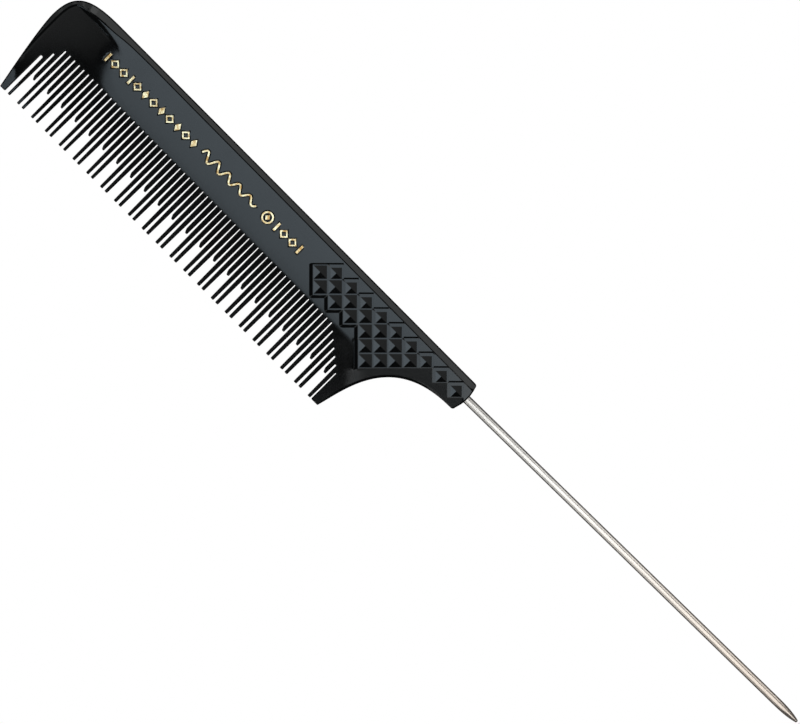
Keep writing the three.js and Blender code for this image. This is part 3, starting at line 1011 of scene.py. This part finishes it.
def gold_foil():
    """Hot pressed gold foil, slightly uneven, with wear that lets its colour turn brownish, and painted
    highlight spots in a pale cream.
    """
    nodes = Nodes("gold_foil_pressed")
    place_of = nodes.position()
    wear_and_highlight_spots = nodes.noise(place_of, 900, 4, 0.65)
    dents = nodes.noise(place_of, 1500, 3, 0.5)
    # Low noise gives worn, brownish foil (real wear). High noise gives pale cream, smoother spots:
    # painted highlights.
    colour = nodes.blend(nodes.fit(wear_and_highlight_spots, 0.38, 0.58, 0, 1), (0.62, 0.34, 0.10), (1.0, 0.84, 0.52))
    roughness = nodes.fit(wear_and_highlight_spots, 0.3, 0.7, 0.3, 0.14)
    normal = nodes.bump(dents, 0.2, 0.00004)
    nodes.set(Base_Color=colour, Roughness=roughness, Metallic=1.0, Normal=normal)
    return nodes.material


def clothe(piece, material):
    piece.data.materials.clear()
    piece.data.materials.append(material)


# ---------------------------------------------------------------- stage, lights and camera

VIEW_TURN = math.radians(45.17)
VIEW_CENTRE = place(112.8, -8.77, HALF_THICKNESS)
VIEW_HEIGHT = 3.057
VIEW_LENS = 600
IMAGE_RIGHT = Vector((math.cos(VIEW_TURN), math.sin(VIEW_TURN), 0))
IMAGE_UP = Vector((-math.sin(VIEW_TURN), math.cos(VIEW_TURN), 0))
LIGHT_DISTANCE = 0.6
FAR_DISTANCE = 1.8


def camera():
    """Straight above the comb, with a long lens."""
    data = bpy.data.cameras.new("photo_camera")
    data.lens = VIEW_LENS
    data.sensor_width = 36
    data.clip_start = 0.01
    data.clip_end = 20
    cam = bpy.data.objects.new("photo_camera", data)
    cam.location = VIEW_CENTRE + Vector((0, 0, VIEW_HEIGHT))
    cam.rotation_euler = (0, 0, VIEW_TURN)
    bpy.context.scene.collection.objects.link(cam)
    bpy.context.scene.camera = cam


def soft_box(name, centre, aim, size, radiance, colour):
    """A rectangular light with an even radiance, facing a point, with its width level."""
    data = bpy.data.lights.new(name, "AREA")
    data.shape = "RECTANGLE"
    data.size, data.size_y = size
    data.energy = radiance * math.pi * size[0] * size[1]
    data.color = colour
    light = bpy.data.objects.new(name, data)
    light.location = centre
    light.rotation_mode = "QUATERNION"
    light.rotation_quaternion = (Vector(aim) - Vector(centre)).to_track_quat("-Z", "Y")
    light.visible_camera = False
    bpy.context.scene.collection.objects.link(light)


def overhead_box(name, x_range, y_range, radiance, colour):
    """A level box above the comb; its ranges are measured from the view's centre, in metres."""
    middle = Vector(((x_range[0] + x_range[1]) / 2, (y_range[0] + y_range[1]) / 2, LIGHT_DISTANCE))
    size = (x_range[1] - x_range[0], y_range[1] - y_range[0])
    centre = VIEW_CENTRE + middle
    soft_box(name, centre, centre - Vector((0, 0, 1)), size, radiance, colour)


def side_box(name, aim, direction, angle, size, radiance, colour, distance=LIGHT_DISTANCE):
    """A box that stands `angle` degrees from the vertical, in a level direction, facing the aim."""
    tilt = math.radians(angle)
    level = Vector(direction).normalized()
    centre = aim + (level * math.sin(tilt) + Vector((0, 0, math.cos(tilt)))) * distance
    soft_box(name, centre, aim, size, radiance, colour)


def lights():
    """
    The comb is nearly a mirror, so each box is placed where one kind of face mirrors it: the body's flat
    face, the blade, the pin's upper side, the pyramids' sides, and the sloping band round the head.
    """
    cool = (0.84, 1.0, 1.12)
    neutral = (0.97, 1.0, 1.0)
    grip = place(100, -8, HALF_THICKNESS)
    head = place(6, -7, HALF_THICKNESS)
    back = place(70, 0, HALF_THICKNESS)
    tail = place(198, -4, 0)
    handle = place(186, -4, 0)
    overhead_box("over_body_front", (-0.1425, 0.020), (-0.060, 0.0), 1.27, cool)
    overhead_box("over_body_back", (-0.1425, 0.020), (0.0, 0.060), 1.74, cool)
    overhead_box("over_teeth_dim", (-0.1425, 0.020), (-0.26, -0.129), 0.23, neutral)
    overhead_box("over_pin_near", (0.020, 0.07), (-0.60, 0.42), 2.4, neutral)
    overhead_box("over_pin_far", (0.07, 0.25), (-0.65, 0.29), 1.42, neutral)
    overhead_box("over_pin_tip", (0.25, 0.42), (-0.20, 0.20), 1.45, neutral)
    overhead_box("over_head_dim", (-0.32, -0.194), (-0.16, 0.08), 0.32, neutral)
    side_box("image_left", grip, -IMAGE_RIGHT, 41, (0.72, 0.72), 2.1, cool, FAR_DISTANCE)
    side_box("image_top", grip, IMAGE_UP, 41, (0.60, 0.60), 0.36, neutral, FAR_DISTANCE)
    side_box("image_right", grip, IMAGE_RIGHT, 41, (0.60, 0.60), 0.34, neutral, FAR_DISTANCE)
    side_box("behind_back", back, (0, 1, 0), 54, (0.62, 0.15), 1.0, neutral)
    for n in range(4):
        azimuth = math.radians(188 - 23 * n)
        direction = (math.cos(azimuth), math.sin(azimuth), 0)
        side_box(f"round_head_{n + 1}", head, direction, 54, (0.25, 0.15), 0.34 + 0.06 * n, neutral)
    side_box("beside_tail_back", tail, (0, 1, 0), 70, (0.125, 0.46), 0.9, neutral)
    side_box("beside_tail_front", handle, (0, -1, 0), 72, (0.15, 0.40), 0.8, neutral)


def floor_material():
    material = bpy.data.materials.new("floor_white")
    material.use_nodes = True
    tree = material.node_tree
    tree.nodes.clear()
    glow = tree.nodes.new("ShaderNodeEmission")
    glow.inputs["Color"].default_value = (1, 1, 1, 1)
    glow.inputs["Strength"].default_value = 1.0
    out = tree.nodes.new("ShaderNodeOutputMaterial")
    tree.links.new(glow.outputs["Emission"], out.inputs["Surface"])
    return material


def stage():
    """A white floor that the comb doesn't mirror, and a world that is white only to the camera."""
    reach = 3.0
    low = -0.0001
    signs = [(-1, -1), (1, -1), (1, 1), (-1, 1)]
    floor = new_object("floor", [(reach * x, reach * y, low) for x, y in signs], [(0, 1, 2, 3)])
    clothe(floor, floor_material())
    floor.visible_glossy = False
    world = bpy.data.worlds.new("studio")
    bpy.context.scene.world = world
    world.use_nodes = True
    tree = world.node_tree
    tree.nodes.clear()
    rays = tree.nodes.new("ShaderNodeLightPath")
    dim = tree.nodes.new("ShaderNodeBackground")
    dim.inputs["Color"].default_value = (1, 1, 1, 1)
    dim.inputs["Strength"].default_value = 0.03
    pale = tree.nodes.new("ShaderNodeBackground")
    pale.inputs["Color"].default_value = (1, 1, 1, 1)
    choose = tree.nodes.new("ShaderNodeMixShader")
    out = tree.nodes.new("ShaderNodeOutputWorld")
    tree.links.new(rays.outputs["Is Camera Ray"], choose.inputs[0])
    tree.links.new(dim.outputs[0], choose.inputs[1])
    tree.links.new(pale.outputs[0], choose.inputs[2])
    tree.links.new(choose.outputs[0], out.inputs["Surface"])
    bpy.context.scene.view_settings.view_transform = "Standard"


# ---------------------------------------------------------------- assembly

camera()
stage()
lights()

body = comb_body()
clothe(body, hard_rubber())
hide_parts("comb_body")
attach(body, "root")

pin = tail_pin()
clothe(pin, steel_wire())
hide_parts("tail_pin")
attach(pin, "root")

foil = gold_foil()
for name in FOIL_NODES:
    clothe(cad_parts[name], foil)
